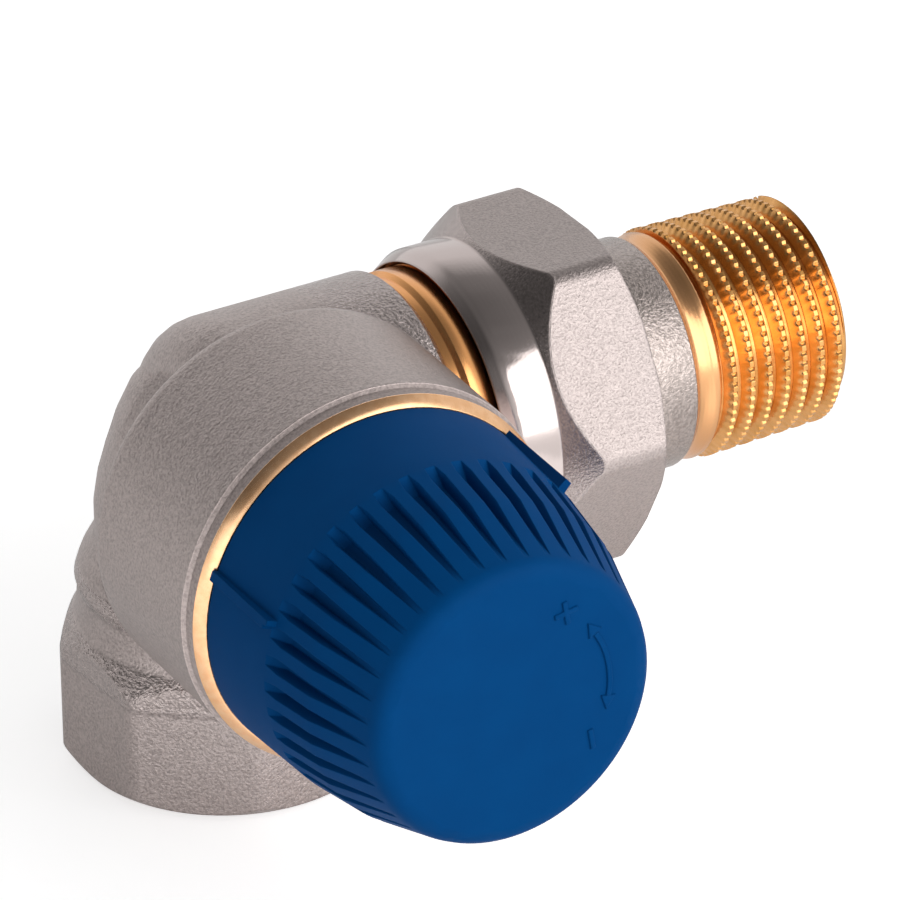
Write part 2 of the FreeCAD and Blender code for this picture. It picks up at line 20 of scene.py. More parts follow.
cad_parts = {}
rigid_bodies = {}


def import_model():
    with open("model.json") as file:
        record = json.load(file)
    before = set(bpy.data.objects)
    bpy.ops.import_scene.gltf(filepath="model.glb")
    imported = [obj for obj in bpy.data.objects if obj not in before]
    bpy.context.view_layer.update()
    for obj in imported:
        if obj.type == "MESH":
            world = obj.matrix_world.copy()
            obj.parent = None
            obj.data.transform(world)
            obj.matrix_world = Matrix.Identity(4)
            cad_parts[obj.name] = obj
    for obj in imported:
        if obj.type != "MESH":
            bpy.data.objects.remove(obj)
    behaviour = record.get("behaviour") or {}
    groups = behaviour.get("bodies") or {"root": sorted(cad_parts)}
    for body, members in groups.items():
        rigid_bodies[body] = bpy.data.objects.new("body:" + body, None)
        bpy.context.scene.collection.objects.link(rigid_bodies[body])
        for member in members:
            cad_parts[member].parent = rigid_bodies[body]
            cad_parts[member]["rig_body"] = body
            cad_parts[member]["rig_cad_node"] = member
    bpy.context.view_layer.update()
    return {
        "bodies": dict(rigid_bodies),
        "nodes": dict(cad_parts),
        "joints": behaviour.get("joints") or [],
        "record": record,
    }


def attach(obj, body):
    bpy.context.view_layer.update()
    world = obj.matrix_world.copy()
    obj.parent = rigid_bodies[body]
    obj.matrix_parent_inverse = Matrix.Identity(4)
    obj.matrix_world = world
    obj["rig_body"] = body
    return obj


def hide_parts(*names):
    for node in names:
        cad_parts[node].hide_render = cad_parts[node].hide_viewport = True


LOG = logging.getLogger("radiator_valve")

MM = 0.001
FULL_TURN = 2 * math.pi
SAME_POINT = 1e-7           # points nearer than this are one, m
SAME_CORNER = 2e-6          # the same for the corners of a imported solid's triangles, m
CUT_WIDTH = 1e-8            # tolerance of a cut, m
AXIS_HEIGHT = 29.5          # head and union axes above the inlet mouth, mm
AXIS_SETBACK = -4.8         # both axes in Y, mm
PIPE_PITCH = 1.814          # pipe threads, mm
HEAD_PITCH = 1.5            # head thread, mm

Colour = tuple[float, float, float]
Profile = Sequence[tuple[float, float]]


class Place(Enum):
    """Axes that turned pieces are made about; local +Z is laid along each of them."""

    INLET = "inlet"
    HEAD = "head"
    UNION = "union"

    def matrix(self) -> Matrix:
        """Give the move from a local Z axis to this axis, in metres.

        Returns:
            The turn and shift that lay local +Z along the axis.
        """
        if self is Place.INLET:
            return Matrix.Identity(4)
        shift = Matrix.Translation(Vector((0.0, AXIS_SETBACK, AXIS_HEIGHT)) * MM)
        if self is Place.HEAD:
            return shift @ Matrix.Rotation(math.pi / 2, 4, "X")
        return shift @ Matrix.Rotation(math.pi / 2, 4, "Y")


# Materials


class Wire:
    """One value in a material's node tree, used in plain expressions."""

    def __init__(self, paint: "Paint", socket: bpy.types.NodeSocket) -> None:
        """Hold a socket of a material.

        Args:
            paint: The material that is being made.
            socket: The output that carries the value.
        """
        self.paint = paint
        self.socket = socket

    def maths(self, operation: str, other: "Wire | float" = 0.0, first: bool = True) -> "Wire":
        """Join this value to another by one operation.

        Args:
            operation: The operation's name.
            other: The other value.
            first: Whether this value stands first.

        Returns:
            The result.
        """
        pair = (self, other) if first else (other, self)
        return self.paint.add("ShaderNodeMath", {"operation": operation}, {0: pair[0], 1: pair[1]})

    def __add__(self, other: "Wire | float") -> "Wire":
        """Add."""
        return self.maths("ADD", other)

    __radd__ = __add__

    def __sub__(self, other: "Wire | float") -> "Wire":
        """Subtract."""
        return self.maths("SUBTRACT", other)

    def __rsub__(self, other: "Wire | float") -> "Wire":
        """Subtract this from another."""
        return self.maths("SUBTRACT", other, first=False)

    def __mul__(self, other: "Wire | float") -> "Wire":
        """Multiply."""
        return self.maths("MULTIPLY", other)

    __rmul__ = __mul__

    def __truediv__(self, other: "Wire | float") -> "Wire":
        """Divide."""
        return self.maths("DIVIDE", other)

    def __rtruediv__(self, other: "Wire | float") -> "Wire":
        """Divide another by this."""
        return self.maths("DIVIDE", other, first=False)

    def smaller(self, other: "Wire | float") -> "Wire":
        """Take the smaller of two values."""
        return self.maths("MINIMUM", other)

    def larger(self, other: "Wire | float") -> "Wire":
        """Take the larger of two values."""
        return self.maths("MAXIMUM", other)

    def above(self, edge: float, soft: float = 0.05) -> "Wire":
        """Rise from 0 to 1 across an edge.

        Args:
            edge: Where the rise is half done.
            soft: Half the width of the rise.

        Returns:
            A mask that is 1 above the edge.
        """
        settings = {"interpolation_type": "SMOOTHSTEP", "clamp": True}
        return self.paint.add("ShaderNodeMapRange", settings, {0: self, 1: edge - soft, 2: edge + soft})

    def within(self, low: float, high: float, soft: float = 0.05) -> "Wire":
        """Give a mask that is 1 between two edges."""
        return self.above(low, soft) * (1.0 - self.above(high, soft))


class Paint:
    """A procedural material or world, made node by node."""

    def __init__(self, holder: bpy.types.Material | bpy.types.World) -> None:
        """Start with no nodes.

        Args:
            holder: The material or world that holds the nodes.
        """
        self.holder = holder
        self.holder.use_nodes = True
        self.tree = holder.node_tree
        self.tree.nodes.clear()

    @classmethod
    def material(cls, name: str) -> "Paint":
        """Start an empty material.

        Args:
            name: The material's name.

        Returns:
            The paint that makes it.
        """
        return cls(bpy.data.materials.new(name))

    def add(self, kind: str, settings: dict[str, object], values: dict[int | str, object],
            output: int | str = 0) -> Wire | None:
        """Add one node.

        Args:
            kind: The node's type.
            settings: Its own settings, which are set first.
            values: Values or links for its input sockets.
            output: The output to give back.

        Returns:
            The chosen output, or nothing from a node that ends the tree.
        """
        node = self.tree.nodes.new(kind)
        for key, value in settings.items():
            setattr(node, key, value)
        for key, value in values.items():
            if isinstance(value, Wire):
                self.tree.links.new(value.socket, node.inputs[key])
            elif isinstance(value, tuple) and len(value) == 3 and node.inputs[key].type == "RGBA":
                node.inputs[key].default_value = (*value, 1.0)
            else:
                node.inputs[key].default_value = value
        return Wire(self, node.outputs[output]) if node.outputs else None

    def point(self) -> Wire:
        """Give the place on the object, in the part's frame."""
        return self.add("ShaderNodeTexCoord", {}, {}, "Object")

    def spread(self, vector: Wire) -> list[Wire]:
        """Split a vector.

        Args:
            vector: The vector.

        Returns:
            X, Y and Z.
        """
        first = self.add("ShaderNodeSeparateXYZ", {}, {0: vector})
        return [Wire(self, output) for output in first.socket.node.outputs]

    def coordinates(self) -> list[Wire]:
        """Give the place on the object as three lengths in millimetres."""
        return [part * (1 / MM) for part in self.spread(self.point())]

    def noise(self, size: float, detail: float = 2.0, roughness: float = 0.5) -> Wire:
        """Give a grain, from 0 to 1.

        Args:
            size: The size of its grains in millimetres.
            detail: The number of finer layers.
            roughness: How strong the finer layers are.

        Returns:
            The grain.
        """
        values = {"Vector": self.point(), "Scale": 1 / (size * MM), "Detail": detail, "Roughness": roughness}
        return self.add("ShaderNodeTexNoise", {}, values, "Fac")

    def grain(self, size: float) -> Wire:
        """Give the sharp grain of blasted metal."""
        return self.noise(size, 3.0, 0.62)

    def mix(self, mask: Wire, low: object, high: object) -> Wire:
        """Mix two colours.

        Args:
            mask: 0 gives the first colour and 1 the second.
            low: The first colour, or a link.
            high: The second colour, or a link.

        Returns:
            The mixed colour.
        """
        return self.add("ShaderNodeMix", {"data_type": "RGBA"}, {0: mask, 6: low, 7: high}, 2)

    def mix_normals(self, mask: Wire, low: Wire, high: Wire) -> Wire:
        """Mix two normals.

        Args:
            mask: 0 gives the first normal and 1 the second.
            low: The first normal.
            high: The second normal.

        Returns:
            The mixed normal.
        """
        return self.add("ShaderNodeMix", {"data_type": "VECTOR"}, {0: mask, 4: low, 5: high}, 1)

    def bump(self, height: Wire, depth: float, base: Wire | None = None) -> Wire:
        """Turn a height into a normal.

        Args:
            height: The height, from 0 to 1.
            depth: What 1 stands for, in millimetres.
            base: The normal that it is laid on.

        Returns:
            The bent normal.
        """
        values: dict[int | str, object] = {"Strength": 1.0, "Distance": depth * MM, "Height": height}
        if base is not None:
            values["Normal"] = base
        return self.add("ShaderNodeBump", {}, values, "Normal")

    def soften(self, radius: float) -> Wire:
        """Give a normal that rounds the edges.

        Args:
            radius: The radius of the rounding in millimetres.

        Returns:
            The rounded normal.
        """
        return self.add("ShaderNodeBevel", {"samples": 6}, {"Radius": radius * MM}, "Normal")

    def finish(self, values: dict[str, object]) -> bpy.types.Material:
        """Close the material with its surface.

        Args:
            values: Values or links of the surface's sockets.

        Returns:
            The material.
        """
        surface = self.add("ShaderNodeBsdfPrincipled", {}, values, "BSDF")
        self.add("ShaderNodeOutputMaterial", {}, {"Surface": surface})
        return self.holder


def distance_from(first: Wire, second: Wire) -> Wire:
    """Give the distance of two lengths taken square to each other."""
    return (first * first + second * second).maths("SQRT")


@dataclass(frozen=True)
class Metal:
    """Colour and smoothness of a bare or plated metal."""

    colour: Colour
    shade: Colour
    roughness: float

    def tone(self, paint: Paint, grain: Wire, edge: float = 0.5, soft: float = 0.3) -> Wire:
        """Mix the two colours.

        Args:
            paint: The material that is being made.
            grain: The grain that parts them.
            edge: The grain's height where they meet.
            soft: Half the width of the change.

        Returns:
            The mixed colour.
        """
        return paint.mix(grain.above(edge, soft), self.shade, self.colour)

    def speckled_with_pit_shade(self, paint: Paint, grain: Wire) -> Wire:
        """Mix the two colours as the specks of a blasted face, with the darker one in the grain's low spots:
        partly the grain's own tone and partly painted shade in its pits.
        """
        return self.tone(paint, grain, 0.47, 0.2)


@dataclass(frozen=True)
class CastNickel:
    """Nickel plate over a blasted brass casting, with turned places left smooth or bare."""

    plate: Metal = Metal((0.550, 0.473, 0.452), (0.360, 0.308, 0.294), 0.30)
    brass: Metal = Metal((0.880, 0.540, 0.310), (0.800, 0.450, 0.230), 0.24)
    # neck brass: deeper and browner than the rim's, partly the neck's own tone and partly painted shade of
    # the hollow between the drum and the nut
    neck_brass_with_shade: Colour = (0.850, 0.400, 0.150)
    grain: float = 0.27
    grain_depth: float = 0.115
    spark: float = 0.34
    spark_depth: float = 0.16
    pit: float = 1.3
    pit_depth: float = 0.08
    cloud: float = 0.9
    ring_height: float = 0.008
    ring_rate: float = 9.0
    drum_start: float = 4.6
    drum_radius: float = 17.68
    band_start: float = 20.83
    rim_start: float = 22.27
    neck_start: float = 14.86
    head_bore: tuple[float, float] = (15.2, 8.0)        # its radius and its bottom
    inlet_bore: tuple[float, float] = (10.9, 16.0)      # its radius and its top
    ledge: tuple[float, float] = (9.9, 13.3)            # heights of the boss's sloped corners
    ledge_radius: float = 13.3
    crease: tuple[float, float] = (16.3, 18.2)          # heights of the step over the boss
    crease_radius: float = 12.0
    hollow_start: float = 8.0                           # hollow between the drum and the neck
    hollow_foot: float = -4.0

    def material(self) -> bpy.types.Material:
        """Make the material.

        Returns:
            Plate on all outside faces, with bare brass on the rim, the neck, the threads and inside.
        """
        paint = Paint.material("cast_nickel_and_bare_brass")
        x, y, z = paint.coordinates()
        along = AXIS_SETBACK - y
        up = z - AXIS_HEIGHT
        head_radius = distance_from(x, up)
        inlet_radius = distance_from(x, y)

        rim = along.above(self.rim_start, 0.04)
        drum = along.above(self.drum_start, 0.02) * (1.0 - head_radius.above(self.drum_radius, 0.03))
        neck = x.above(self.neck_start, 0.03) * (1.0 - drum)
        bore, bottom = self.head_bore
        inside_head = (1.0 - head_radius.above(bore, 0.05)) * along.above(bottom, 0.1)
        bore, top = self.inlet_bore
        inlet = (1.0 - inlet_radius.above(bore, 0.06)) * (1.0 - z.above(top, 0.2))
        bare = rim.larger(neck).larger(inside_head).larger(inlet)
        band = along.within(self.band_start, self.rim_start, 0.04)

        fine = paint.grain(self.grain)
        # the neck's deeper brass carries painted shade of the hollow between the drum and the nut, besides
        # its own tone
        brass = paint.mix(neck, self.brass.tone(paint, paint.noise(self.cloud)), self.neck_brass_with_shade)
        # plate specks: the grain's own tone, plus painted shade in the grain's pits
        colour = paint.mix(bare, self.plate.speckled_with_pit_shade(paint, fine), brass)

        smooth = bare.larger(band * 0.5)
        ledge = z.within(*self.ledge, 0.3) * inlet_radius.above(self.ledge_radius, 0.2)
        crease = z.within(*self.crease, 0.3) * inlet_radius.above(self.crease_radius, 0.3)
        hollow = x.within(self.hollow_start, self.neck_start, 1.5) * (1.0 - drum)
        hollow = hollow * up.above(self.hollow_foot, 3.0)
        sparkling = ledge.larger(crease).larger(hollow) * (1.0 - smooth)
        plate_roughness = self.plate.roughness + fine * 0.12 - sparkling * 0.20 + band * 0.25
        roughness = plate_roughness * (1.0 - bare) + bare * self.brass.roughness
        rings = (x * self.ring_rate).maths("SINE") * neck
        rings = rings + (head_radius * self.ring_rate).maths("SINE") * rim
        height = fine * (1.0 - smooth) + rings * self.ring_height * bare
        pits = paint.noise(self.pit) * (1.0 - smooth)
        soft = paint.mix_normals(bare.larger(band), paint.soften(0.28), paint.soften(0.1))
        pitted = paint.bump(pits, self.pit_depth, soft)
        normal = paint.bump(paint.noise(self.spark) * sparkling, self.spark_depth, pitted)
        return paint.finish({
            "Base Color": colour, "Metallic": 1.0, "Roughness": roughness,
            "Normal": paint.bump(height, self.grain_depth, normal)})


@dataclass(frozen=True)
class NutNickel:
    """Nickel plate on the union nut: grainy flats, turned skirt and chamfers."""

    plate: Metal = Metal((0.490, 0.422, 0.403), (0.330, 0.283, 0.270), 0.28)
    polished: Colour = (0.540, 0.465, 0.445)
    skirt_radius: float = 14.45
    hexagon_start: float = 23.0
    chamfer_slope: float = 1.241
    turned_roughness: float = 0.12
    chamfer_roughness: float = 0.24
    grain_depth: float = 0.085
    skirt_margin: float = 0.08
    chamfer_margin: float = 0.1

    def material(self) -> bpy.types.Material:
        """Make the material.

        Returns:
            Grain on the flats and fine turning marks on the round faces.
        """
        paint = Paint.material("nut_nickel")
        x, y, z = paint.coordinates()
        radius = distance_from(y - AXIS_SETBACK, z - AXIS_HEIGHT)
        skirt = 1.0 - radius.above(self.skirt_radius + self.skirt_margin)
        cone = x - (radius - self.skirt_radius) * self.chamfer_slope
        chamfer = (1.0 - cone.above(self.hexagon_start + self.chamfer_margin)) * (1.0 - skirt)
        fine = paint.grain(0.22)
        # flat faces: speckled plate, partly grain tone and partly painted shade in the grain's pits
        colour = paint.mix(skirt, self.plate.speckled_with_pit_shade(paint, fine), self.polished)
        flat_face = 1.0 - skirt - chamfer
        roughness = (self.plate.roughness + fine * 0.12) * flat_face
        roughness = roughness + skirt * self.turned_roughness + chamfer * self.chamfer_roughness
        turned = (x * 14.0).maths("SINE") * 0.005 + fine * 0.05
        height = fine * flat_face + turned * skirt + fine * chamfer * 0.5
        return paint.finish({
            "Base Color": colour, "Metallic": 1.0, "Roughness": roughness,
            "Normal": paint.bump(height, self.grain_depth, paint.soften(0.3))})


@dataclass(frozen=True)
class TailBrass:
    """Bare brass of the tail thread, with the plate ending on its collar."""

    plate: Metal = Metal((0.500, 0.428, 0.398), (0.320, 0.272, 0.250), 0.12)
    brass: Metal = Metal((0.880, 0.470, 0.180), (0.700, 0.340, 0.095), 0.19)
    pale: Colour = (0.760, 0.400, 0.185)
    plate_start: float = 30.6
    plate_end: float = 39.0
    plate_radius: float = 9.6
    thread_start: float = 42.0
    grain_depth: float = 0.17

    def material(self) -> bpy.types.Material:
        """Make the material.

        Returns:
            Grainy plate up to the collar's edge and bright brass beyond it.
        """
        paint = Paint.material("tail_brass")
        x, y, z = paint.coordinates()
        radius = distance_from(y - AXIS_SETBACK, z - AXIS_HEIGHT)
        plated = x.within(self.plate_start, self.plate_end, 0.06) * radius.above(self.plate_radius, 0.1)
        bare = 1.0 - plated
        fine = paint.grain(0.32)
        thread = self.brass.tone(paint, paint.noise(1.4, 3.0, 0.55))
        brass = paint.mix(x.above(self.thread_start, 0.2), self.pale, thread)
        roughness = plated * (self.plate.roughness + fine * 0.14)
        roughness = roughness + bare * (self.brass.roughness + fine * 0.08)
        height = fine * plated * 0.7 + ((x * 16.0).maths("SINE") * 0.010 + fine * 0.03) * bare
        return paint.finish({
            # plated collar: speckled plate, partly grain tone and partly painted shade in the grain's pits
            "Base Color": paint.mix(plated, brass, self.plate.speckled_with_pit_shade(paint, fine)), "Metallic": 1.0,
            "Roughness": roughness, "Normal": paint.bump(height, self.grain_depth, paint.soften(0.12))})


@dataclass(frozen=True)
class CapPlastic:
    """Matt blue moulded plastic."""

    colour: Colour = (0.000, 0.055, 0.200)
    worn: Colour = (0.000, 0.060, 0.214)
    roughness: float = 0.55
    gloss: float = 0.04
    skin_depth: float = 0.006

    def material(self) -> bpy.types.Material:
        """Make the material.

        Returns:
            Plastic with a fine moulded skin.
        """
        paint = Paint.material("blue_moulded_plastic")
        fine = paint.noise(0.12)
        cloud = paint.noise(4.0)
        return paint.finish({
            "Base Color": paint.mix(cloud.above(0.5, 0.35), self.colour, self.worn),
            "Roughness": self.roughness + fine * 0.12,
            "Specular IOR Level": self.gloss,
            "Normal": paint.bump(fine, self.skin_depth, paint.soften(0.16))})


@dataclass(frozen=True)
class TurnedMetal:
    """Plain turned metal of the inner pieces."""

    name: str
    metal: Metal

    def material(self) -> bpy.types.Material:
        """Make the material.

        Returns:
            Metal with a faint cloud and fine marks.
        """
        paint = Paint.material(self.name)
        fine = paint.noise(0.15)
        return paint.finish({
            "Base Color": self.metal.tone(paint, paint.noise(1.2, 3.0)),
            "Metallic": 1.0, "Roughness": self.metal.roughness + fine * 0.1,
            "Normal": paint.bump(fine, 0.005, paint.soften(0.08))})


@dataclass(frozen=True)
class SealRubber:
    """Black moulded rubber of the rings and the plug's disc."""

    colour: Colour = (0.018, 0.018, 0.019)
    worn: Colour = (0.030, 0.030, 0.031)

    def material(self) -> bpy.types.Material:
        """Make the material.

        Returns:
            Dull rubber with a fine skin.
        """
        paint = Paint.material("black_seal_rubber")
        fine = paint.noise(0.1)
        return paint.finish({
            "Base Color": paint.mix(fine.above(0.5, 0.4), self.colour, self.worn),
            "Roughness": 0.5 + fine * 0.15, "Normal": paint.bump(fine, 0.004)})


# Modelling


def deselect() -> None:
    """Leave object mode empty-handed."""
    bpy.ops.object.select_all(action="DESELECT")


def take(piece: bpy.types.Object) -> bpy.types.Object:
    """Make one object the only selected and active one.

    Args:
        piece: The object.

    Returns:
        The same object.
    """
    deselect()
    piece.select_set(True)
    bpy.context.view_layer.objects.active = piece
    return piece


class Bench:
    """Edit mode on one object, left again at the end of a with block."""

    def __init__(self, piece: bpy.types.Object) -> None:
        """Hold the object.

        Args:
            piece: The object to work on.
        """
        self.piece = piece

    def __enter__(self) -> "Bench":
        """Start editing."""
        take(self.piece)
        bpy.ops.object.mode_set(mode="EDIT")
        bpy.ops.mesh.select_mode(type="VERT")
        return self

    def __exit__(self, *_: object) -> None:
        """Stop editing."""
        bpy.ops.object.mode_set(mode="OBJECT")

    def pick(self, test: Callable[[Vector], bool]) -> int:
        """Select the points that pass a test and nothing else.

        Args:
            test: Takes a point's place in metres.

        Returns:
            The number of points picked.
        """
        bpy.ops.mesh.select_all(action="DESELECT")
        shape = bmesh.from_edit_mesh(self.piece.data)
        count = 0
        for vertex in shape.verts:
            if test(vertex.co):
                vertex.select_set(True)
                count += 1
        shape.select_flush(True)
        bmesh.update_edit_mesh(self.piece.data)
        return count

    def scale(self, value: tuple[float, float, float], centre: Vector) -> None:
        """Scale what is picked.

        Args:
            value: The three scales.
            centre: The point that stays, in the part's frame.
        """
        bpy.ops.transform.resize(value=value, center_override=tuple(centre))


def apply_modifier(piece: bpy.types.Object, kind: str, **settings: object) -> None:
    """Add a modifier and apply it.

    Args:
        piece: The object.
        kind: The modifier's type.
        settings: Its settings.
    """
    take(piece)
    modifier = piece.modifiers.new(kind.lower(), kind)
    for key, value in settings.items():
        setattr(modifier, key, value)
    bpy.ops.object.modifier_apply(modifier=modifier.name)


def settle(piece: bpy.types.Object, place: Place) -> None:
    """Lay a piece made about local Z along its axis, with its place in its mesh.

    Args:
        piece: The object.
        place: The axis.
    """
    piece.matrix_world = place.matrix() @ piece.matrix_world
    take(piece)
    bpy.ops.object.transform_apply(location=True, rotation=True, scale=True)


def close_up(piece: bpy.types.Object, smooth_degrees: float) -> None:
    """Merge doubles, point the faces outwards and shade the piece.

    Args:
        piece: The object.
        smooth_degrees: Edges flatter than this are shaded round.
    """
    with Bench(piece):
        bpy.ops.mesh.select_all(action="SELECT")
        bpy.ops.mesh.remove_doubles(threshold=SAME_POINT)
        bpy.ops.mesh.normals_make_consistent(inside=False)
    take(piece)
    bpy.ops.object.shade_smooth_by_angle(angle=math.radians(smooth_degrees))


def outline(name: str, points: Sequence[Vector]) -> bpy.types.Object:
    """Draw a closed line by extruding one point along it.

    Args:
        name: The object's name.
        points: The line's corners in millimetres.

    Returns:
        The line as an object.
    """
    bpy.ops.mesh.primitive_plane_add(size=0.1 * MM, location=(0, 0, 0))
    piece = bpy.context.active_object
    piece.name = name
    with Bench(piece):
        bpy.ops.mesh.select_all(action="SELECT")
        bpy.ops.mesh.merge(type="CENTER")
        bpy.ops.transform.translate(value=points[0] * MM)
        for here, there in zip(points, [*points[1:], points[0]]):
            bpy.ops.mesh.extrude_region_move(TRANSFORM_OT_translate={"value": (there - here) * MM})
        bpy.ops.mesh.select_all(action="SELECT")
        bpy.ops.mesh.remove_doubles(threshold=SAME_POINT)
    return piece


def section(points: Profile) -> list[Vector]:
    """Stand a line of (radius, height) upright in the XZ plane."""
    return [Vector((radius, 0.0, height)) for radius, height in points]


def raised(name: str, corners: Profile, low: float, high: float, place: Place) -> bpy.types.Object:
    """Raise a flat closed line to a thin plate with softened upper edges.

    Args:
        name: The object's name.
        corners: The line's (x, y) corners in millimetres.
        low: The height of its foot on the axis.
        high: The height of its top.
        place: The axis that it stands across.

    Returns:
        The plate.
    """
    piece = outline(name, [Vector((x, y, low)) for x, y in corners])
    with Bench(piece) as bench:
        bpy.ops.mesh.select_all(action="SELECT")
        bpy.ops.mesh.edge_face_add()
        bpy.ops.mesh.extrude_region_move(TRANSFORM_OT_translate={"value": (0, 0, (high - low) * MM)})
        bench.pick(lambda p: p.z > (low + high) / 2 * MM)
        bpy.ops.mesh.bevel(offset=(high - low) * 0.2 * MM, segments=2, affect="EDGES")
    settle(piece, place)
    close_up(piece, 30.0)
    return piece


def turned(name: str, points: Profile, place: Place, steps: int = 96,
           smooth_degrees: float = 32.0) -> bpy.types.Object:
    """Spin a closed line into a turned piece.

    Args:
        name: The object's name.
        points: The line's (radius, height) corners in millimetres.
        place: The axis that it lies on.
        steps: Facets round the axis.
        smooth_degrees: Edges flatter than this are shaded round.

    Returns:
        The piece.
    """
    piece = outline(name, section(points))
    with Bench(piece):
        bpy.ops.mesh.select_all(action="SELECT")
        bpy.ops.mesh.spin(steps=steps, angle=FULL_TURN, center=(0, 0, 0), axis=(0, 0, 1))
    settle(piece, place)
    close_up(piece, smooth_degrees)
    return piece


@dataclass
class Thread:
    """A screw thread as one raised ridge, sunk a little into the round face that carries it."""

    name: str
    place: Place
    root: float
    crest: float
    pitch: float
    start: float
    end: float
    crest_at: float = 0.0
    flanks: Profile = ((0.0, 0.09), (1.0, 0.85))
    steps: int = 72
    left_over: float = 0.12

    def cross_section(self) -> list[tuple[float, float]]:
        """Give the ridge's section about its crest.

        Returns:
            Corners as (radius, height), from the lower side of the crest round to its upper side.
        """
        side = [(self.crest + (self.root - self.crest) * share, half) for share, half in self.flanks]
        sink = math.copysign(self.left_over, self.crest - self.root)
        side.append((self.root - sink, side[-1][1] * 0.64))
        return [(r, -half) for r, half in side] + [(r, half) for r, half in reversed(side)]

    def build(self) -> bpy.types.Object:
        """Model the ridge.

        Returns:
            The ridge, closed at both ends.
        """
        base = self.crest_at + self.pitch * math.floor((self.start - self.crest_at) / self.pitch - 1)
        turns = math.ceil((self.end - base) / self.pitch) + 1
        ridge = outline(self.name, section([(r, z + base) for r, z in self.cross_section()]))
        apply_modifier(ridge, "SCREW", axis="Z", angle=FULL_TURN, screw_offset=self.pitch * MM,
                       iterations=turns, steps=self.steps, render_steps=self.steps,
                       use_merge_vertices=False)
        with Bench(ridge) as bench:
            for height, inner in ((self.start * MM, True), (self.end * MM, False)):
                bpy.ops.mesh.select_all(action="SELECT")
                bpy.ops.mesh.bisect(plane_co=(0, 0, height), plane_no=(0, 0, 1), clear_inner=inner,
                                    clear_outer=not inner, threshold=CUT_WIDTH)
                bench.pick(lambda p: abs(p.z - height) < SAME_POINT)
                bpy.ops.mesh.fill(use_beauty=False)
        return ridge

    def finished(self) -> bpy.types.Object:
        """Model the ridge and lay it on its axis.

        Returns:
            The finished thread.
        """
        ridge = self.build()
        settle(ridge, self.place)
        close_up(ridge, 30.0)
        return ridge


def copy_of_node(frame: dict, node: str, name: str, smooth_degrees: float) -> bpy.types.Object:
    """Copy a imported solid's mesh, merge its loose triangles and shade it.

    Args:
        frame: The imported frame.
        node: The solid's node.
        name: The copy's name.
        smooth_degrees: Edges flatter than this are shaded round.

    Returns:
        The copy.
    """
    take(frame["nodes"][node])
    bpy.ops.object.duplicate()
    piece = bpy.context.active_object
    piece.name = name
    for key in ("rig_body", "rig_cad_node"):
        if key in piece:
            del piece[key]
    piece.parent = None
    piece.data.materials.clear()
    with Bench(piece):
        bpy.ops.mesh.select_all(action="SELECT")
        bpy.ops.mesh.remove_doubles(threshold=SAME_CORNER)
    take(piece)
    bpy.ops.mesh.customdata_custom_splitnormals_clear()
    bpy.ops.object.shade_smooth_by_angle(angle=math.radians(smooth_degrees))
    apply_modifier(piece, "WEIGHTED_NORMAL", keep_sharp=True, weight=60)
    return piece


def dress(piece: bpy.types.Object, material: bpy.types.Material, body: str,
          replaced: Sequence[str] = ()) -> bpy.types.Object:
    """Give a finished piece its material and its body, and hide the nodes that it stands for.

    Args:
        piece: The object.
        material: Its finish.
        body: The body that it moves with.
        replaced: The nodes that it stands for.

    Returns:
        The same object.
    """
    piece.data.materials.clear()
    piece.data.materials.append(material)
    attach(piece, body)
    if replaced:
        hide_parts(*replaced)
    LOG.info("piece %s rides on %s", piece.name, body)
    return piece


# Sub-assemblies


